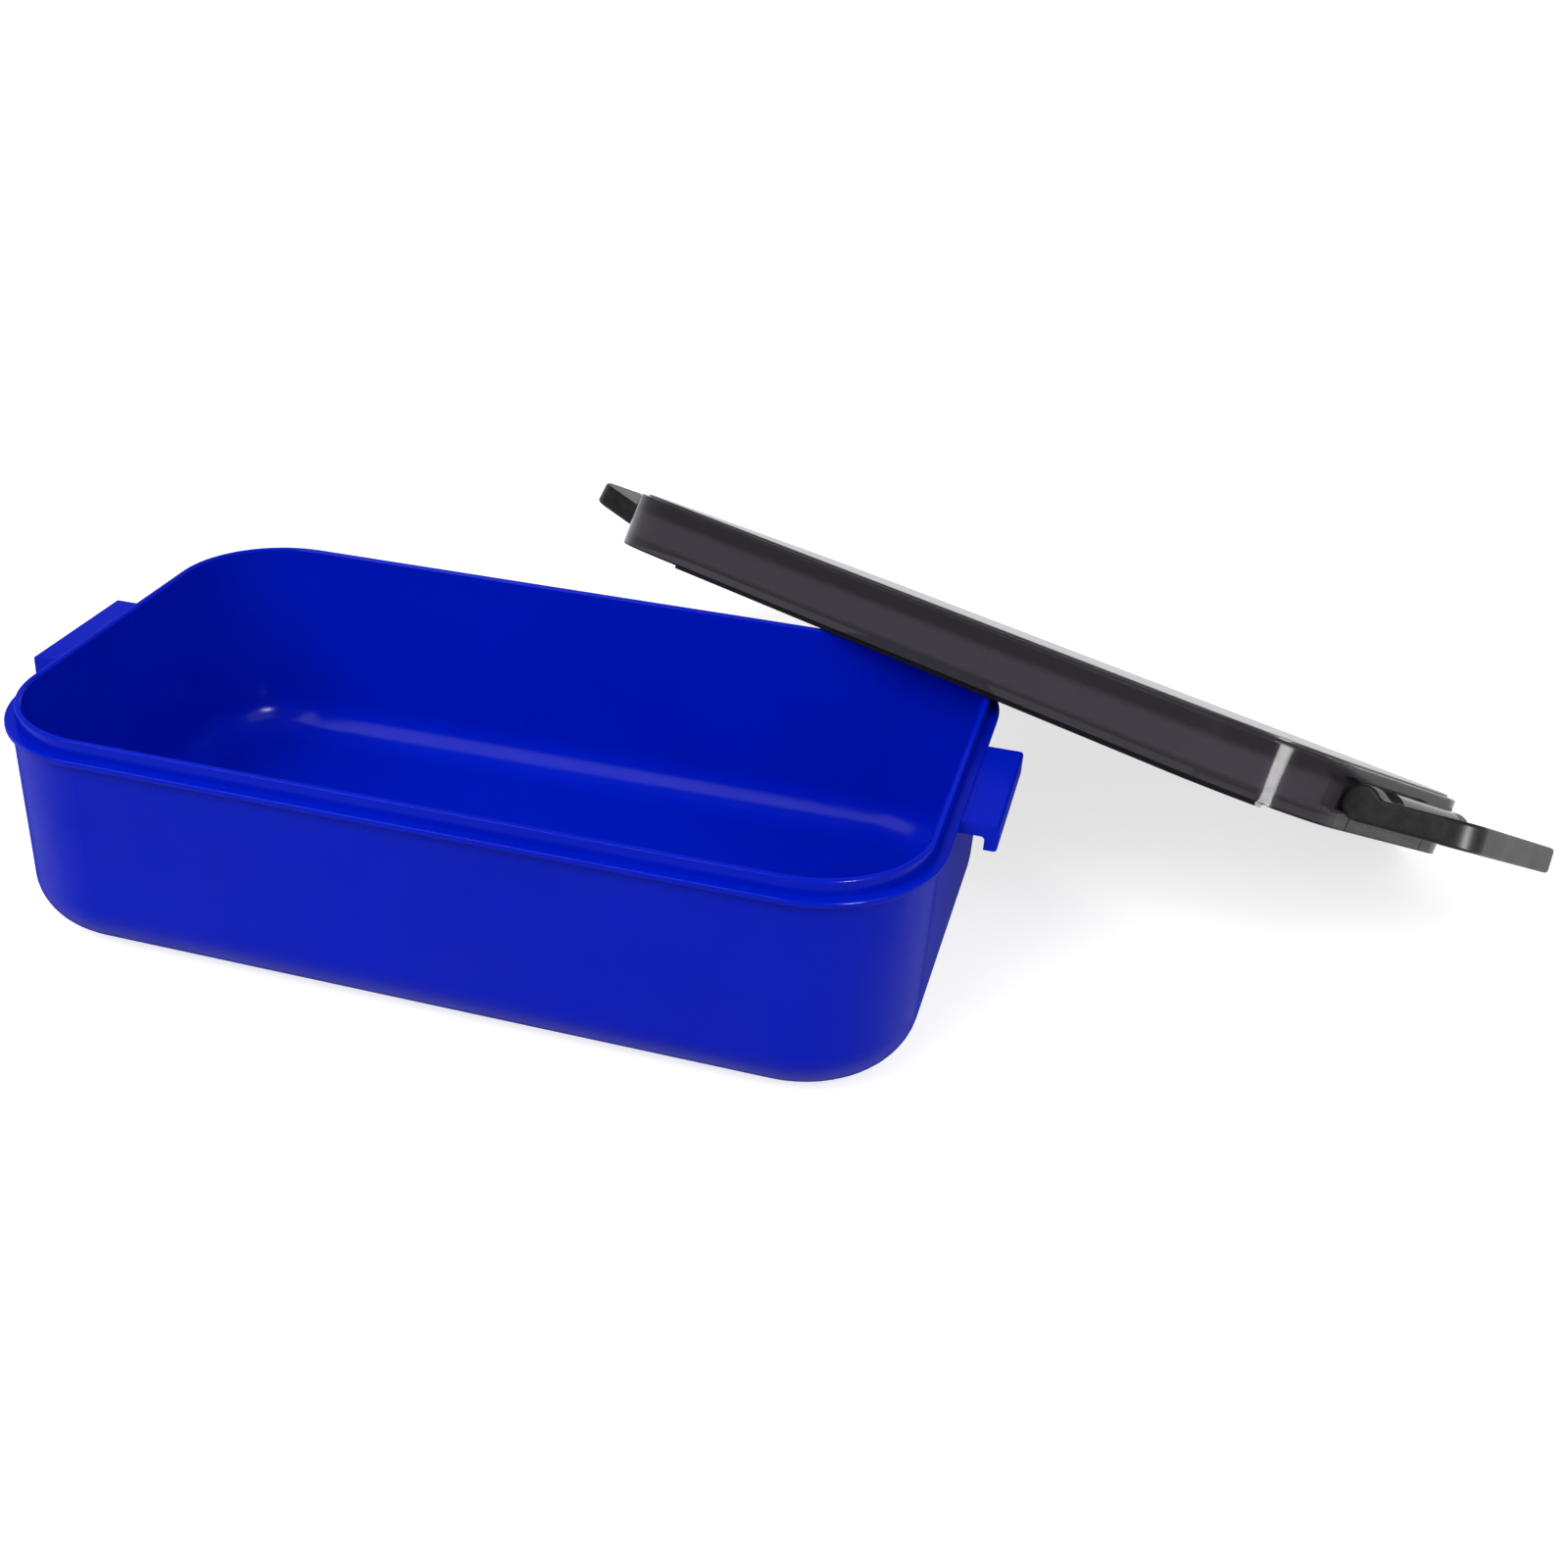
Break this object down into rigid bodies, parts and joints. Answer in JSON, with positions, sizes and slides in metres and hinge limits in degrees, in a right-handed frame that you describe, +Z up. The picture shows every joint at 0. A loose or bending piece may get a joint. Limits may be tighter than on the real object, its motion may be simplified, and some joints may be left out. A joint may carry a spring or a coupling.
{
  "type": "lunch box",
  "caption": "Blue plastic lunch box with its dark grey lid off and leaning on the rim; the lid has a seal and a hinged closing clip at each end.",
  "frame": {"origin": "centre of the container's base, on the surface it stands on", "axes": "+X along the container's length towards the right clip, +Y across it towards the leaning lid, +Z up"},
  "size_m": [0.3861, 0.2803, 0.0752],
  "materials": {
    "container_blue": "gloss",
    "lid_grey": "gloss",
    "seal_silicone": "matte",
    "clip_black": "satin"
  },
  "bodies": {
    "container": {"container": "container_blue"},
    "lid": {"lid": "lid_grey", "lid_seal": "seal_silicone"},
    "left_clip": {"left_clip": "clip_black"},
    "right_clip": {"right_clip": "clip_black"}
  },
  "joints": [
    {"name": "lid_lift", "type": "slide", "parent": "container", "child": "lid", "axis": [0, 0, 1], "range_m": [0, 0.09]},
    {"name": "left_clip_hinge", "type": "hinge", "parent": "lid", "child": "left_clip", "pos_m": [0.00753, 0.16734, 0.03829], "axis": [-0.4211, -0.792, 0.4421], "range_deg": [-80, 71]},
    {"name": "right_clip_hinge", "type": "hinge", "parent": "lid", "child": "right_clip", "pos_m": [0.22156, 0.05354, 0.03829], "axis": [0.4211, 0.792, -0.4421], "range_deg": [-83, 68]}
  ]
}
